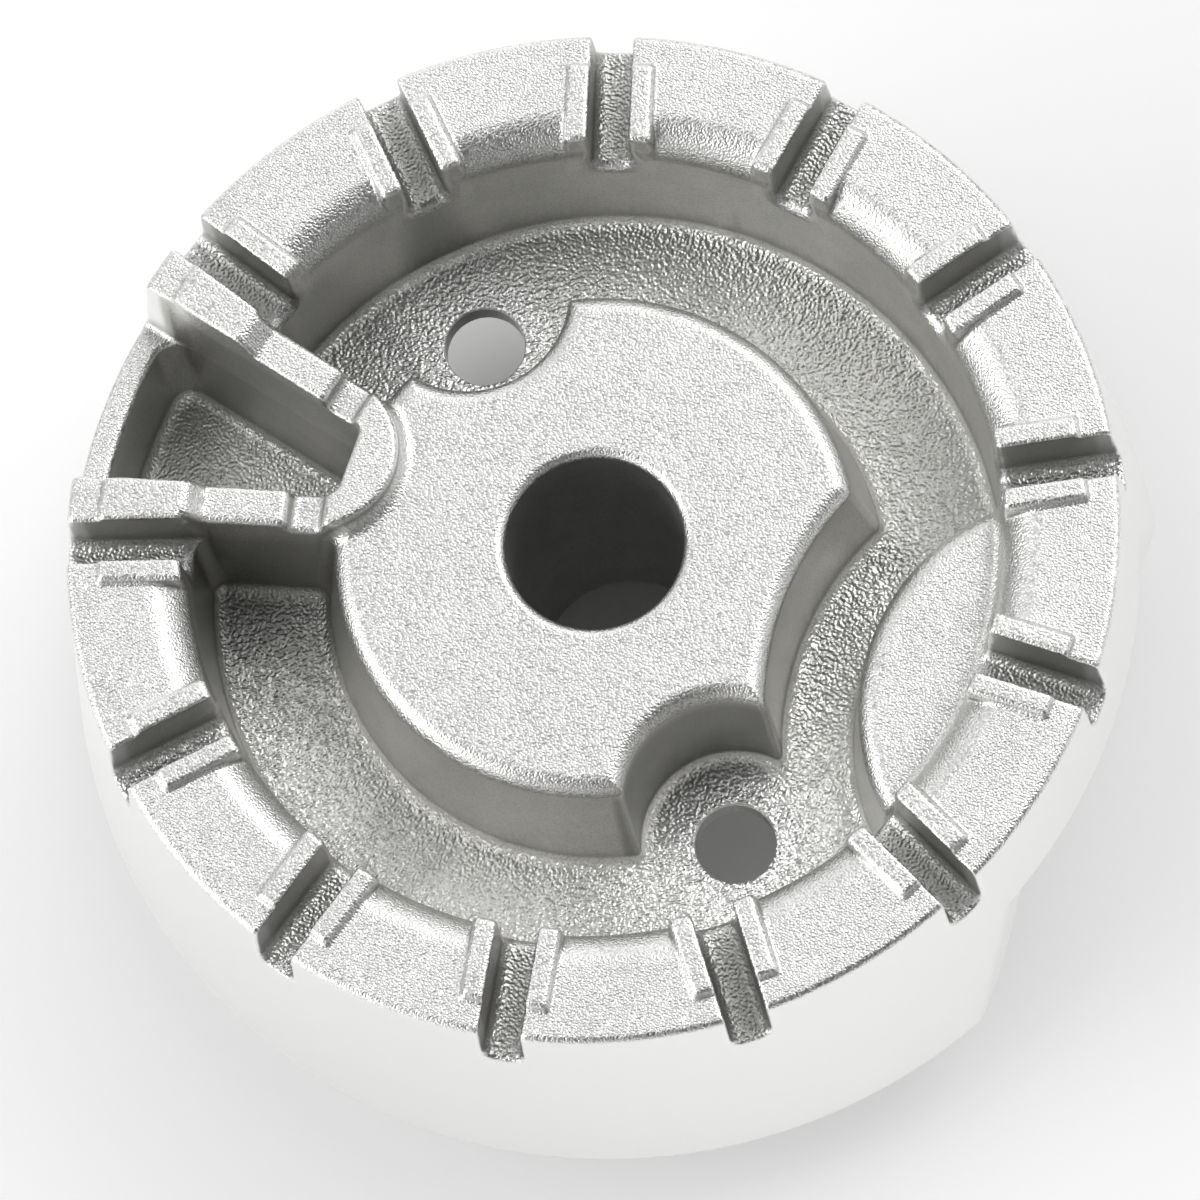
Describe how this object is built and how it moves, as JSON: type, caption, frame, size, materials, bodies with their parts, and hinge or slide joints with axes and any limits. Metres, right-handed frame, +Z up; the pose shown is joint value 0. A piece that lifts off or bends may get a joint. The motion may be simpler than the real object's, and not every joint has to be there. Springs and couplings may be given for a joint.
{
  "type": "gas hob burner head",
  "caption": "Round cast burner head for a gas hob: slotted and ribbed rim, gas chamber, central mixture bore, screw holes, ignition pocket and sensor recess.",
  "frame": {"origin": "on the mixture bore's axis, in the plane of the skirt's seat", "axes": "+Z up along the bore towards the slotted rim, -X through the middle of the ignition pocket, +X through the sensor recess"},
  "size_m": [0.0731, 0.0744, 0.0305],
  "materials": {
    "casting": "bare die cast, shot blasted, matte"
  },
  "bodies": {
    "root": {"burner_head": "casting"}
  },
  "joints": []
}
